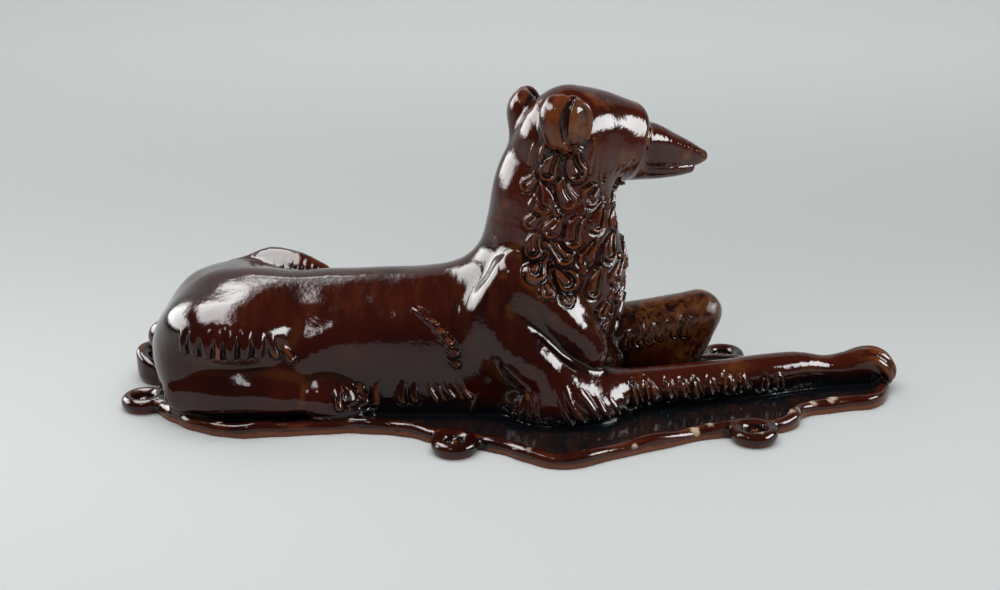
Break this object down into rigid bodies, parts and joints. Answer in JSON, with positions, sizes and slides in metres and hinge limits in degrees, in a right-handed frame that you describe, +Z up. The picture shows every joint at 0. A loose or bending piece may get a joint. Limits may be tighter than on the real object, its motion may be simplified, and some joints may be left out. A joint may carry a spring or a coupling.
{
  "type": "faience dog figurine",
  "caption": "Glazed earthenware dog lying with its head up and turned, one foreleg out and one folded, on a low shaped base with a rolled rim and round lugs.",
  "frame": {"origin": "under the middle of the object's box, on the plane it stands on", "axes": "+X the way the dog lies, from rump to forepaws; +Y towards the dog's left side; +Z up"},
  "size_m": [0.5658, 0.2118, 0.2333],
  "materials": {
    "brown_glaze": "thick, very glossy treacle-brown lead glaze, amber where it is thin on ridges and blue-black where it pools; a few pale chips on the rim"
  },
  "bodies": {
    "root": {"dog_on_base": "brown_glaze"}
  },
  "joints": []
}
